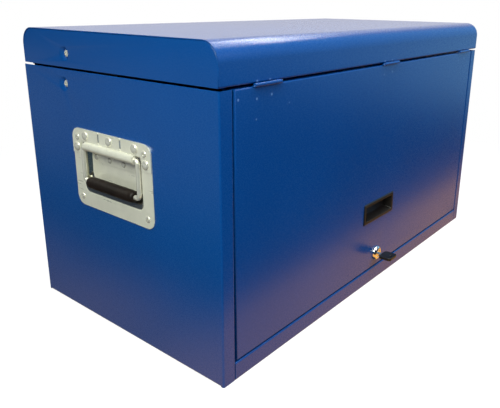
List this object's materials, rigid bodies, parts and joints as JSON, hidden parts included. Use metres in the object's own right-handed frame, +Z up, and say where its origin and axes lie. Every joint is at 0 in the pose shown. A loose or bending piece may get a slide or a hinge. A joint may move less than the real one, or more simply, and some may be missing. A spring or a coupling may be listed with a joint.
{
  "type": "metal tool box",
  "caption": "Wide sheet-steel tool box with a rear-hinged lid, a lockable drop-front flap, folding lid stays and recessed spring-return carry handles.",
  "frame": {"origin": "middle of the footprint, on the underside of the floor pan", "axes": "+X to the box's right along its width, +Y to the rear (hinge side), +Z up"},
  "size_m": [0.8084, 0.453, 0.4402],
  "materials": {
    "blue_powder_coat": "fine-textured powder coat, semi-gloss",
    "hinge_steel": "powder coat over steel",
    "zinc_plate": "bright zinc plate, slightly yellow",
    "chrome": "polished",
    "bright_steel": "satin",
    "black_plastic": "fine grain",
    "black_rubber": "ribbed, matt"
  },
  "bodies": {
    "body": {"left_side_panel": "blue_powder_coat", "right_side_panel": "blue_powder_coat", "flap_stops": "blue_powder_coat", "floor_pan": "blue_powder_coat", "rear_panel": "blue_powder_coat", "rear_hinge_body_leaf": "blue_powder_coat", "rear_hinge_pin": "hinge_steel", "rear_hinge_body_rivets": "hinge_steel", "left_handle_plate": "zinc_plate", "left_handle_cover": "zinc_plate", "left_handle_strap": "zinc_plate", "left_springs": "zinc_plate", "left_dome_rivets": "zinc_plate", "left_blind_rivets": "zinc_plate", "left_stay_body_screw": "zinc_plate", "right_handle_plate": "zinc_plate", "right_handle_cover": "zinc_plate", "right_handle_strap": "zinc_plate", "right_springs": "zinc_plate", "right_dome_rivets": "zinc_plate", "right_blind_rivets": "zinc_plate", "right_stay_body_screw": "zinc_plate"},
    "lid": {"lid_shell": "blue_powder_coat", "lid_left_end": "blue_powder_coat", "lid_right_end": "blue_powder_coat", "lid_stiffeners": "blue_powder_coat", "rear_hinge_lid_leaf": "blue_powder_coat", "rear_hinge_lid_rivets": "hinge_steel", "flap_hinge_lid_leaves": "hinge_steel", "flap_hinge_pins": "hinge_steel", "left_stay_lid_screw": "zinc_plate", "right_stay_lid_screw": "zinc_plate"},
    "flap": {"flap_panel": "blue_powder_coat", "flap_stiffener": "blue_powder_coat", "lock_plate": "blue_powder_coat", "flap_hinge_flap_leaves": "hinge_steel", "pull_cup": "black_plastic", "lock_housing": "chrome", "lock_nut": "bright_steel"},
    "lock": {"lock_plug": "chrome", "lock_cam": "bright_steel", "lock_cam_screw": "bright_steel"},
    "key": {"key_blade": "bright_steel", "key_bow": "black_plastic"},
    "left_bail": {"left_bail": "zinc_plate", "left_grip": "black_rubber"},
    "left_upper_arm": {"left_stay_upper_arm": "zinc_plate", "left_stay_knee_rivet": "zinc_plate"},
    "left_lower_arm": {"left_stay_lower_arm": "zinc_plate"},
    "right_bail": {"right_bail": "zinc_plate", "right_grip": "black_rubber"},
    "right_upper_arm": {"right_stay_upper_arm": "zinc_plate", "right_stay_knee_rivet": "zinc_plate"},
    "right_lower_arm": {"right_stay_lower_arm": "zinc_plate"}
  },
  "joints": [
    {"name": "lid_hinge", "type": "hinge", "parent": "body", "child": "lid", "pos_m": [0, 0.2071, 0.3866], "axis": [-1, 0, 0], "range_deg": [0, 95]},
    {"name": "flap_hinge", "type": "hinge", "parent": "lid", "child": "flap", "pos_m": [0, -0.2099, 0.3866], "axis": [-1, 0, 0], "range_deg": [0, 175]},
    {"name": "lock_turn", "type": "hinge", "parent": "flap", "child": "lock", "pos_m": [0, -0.2075, 0.0525], "axis": [0, 1, 0], "range_deg": [0, 90]},
    {"name": "key_pull", "type": "slide", "parent": "lock", "child": "key", "axis": [0, -1, 0], "range_m": [0, 0.03]},
    {"name": "left_bail_hinge", "type": "hinge", "parent": "body", "child": "left_bail", "pos_m": [-0.3955, 0, 0.28], "axis": [0, 1, 0], "range_deg": [0, 90], "stiffness_Nm_per_rad": 0.12, "springref_deg": -17.19},
    {"name": "left_stay_lower_hinge", "type": "hinge", "parent": "body", "child": "left_lower_arm", "pos_m": [-0.3816, 0.1025, 0.364], "axis": [-1, 0, 0], "range_deg": [0, 95]},
    {"name": "left_stay_upper_hinge", "type": "hinge", "parent": "lid", "child": "left_upper_arm", "pos_m": [-0.3839, 0.0955, 0.407], "axis": [-1, 0, 0], "range_deg": [-95, 0]},
    {"name": "right_bail_hinge", "type": "hinge", "parent": "body", "child": "right_bail", "pos_m": [0.3955, 0, 0.28], "axis": [0, -1, 0], "range_deg": [0, 90], "stiffness_Nm_per_rad": 0.12, "springref_deg": -17.19},
    {"name": "right_stay_lower_hinge", "type": "hinge", "parent": "body", "child": "right_lower_arm", "pos_m": [0.3816, 0.1025, 0.364], "axis": [-1, 0, 0], "range_deg": [0, 95]},
    {"name": "right_stay_upper_hinge", "type": "hinge", "parent": "lid", "child": "right_upper_arm", "pos_m": [0.3839, 0.0955, 0.407], "axis": [-1, 0, 0], "range_deg": [-95, 0]}
  ],
  "couplings": [
    {"joint": "left_stay_lower_hinge", "follows": "lid_hinge", "ratio": 1},
    {"joint": "left_stay_upper_hinge", "follows": "lid_hinge", "ratio": -1},
    {"joint": "right_stay_lower_hinge", "follows": "lid_hinge", "ratio": 1},
    {"joint": "right_stay_upper_hinge", "follows": "lid_hinge", "ratio": -1}
  ]
}
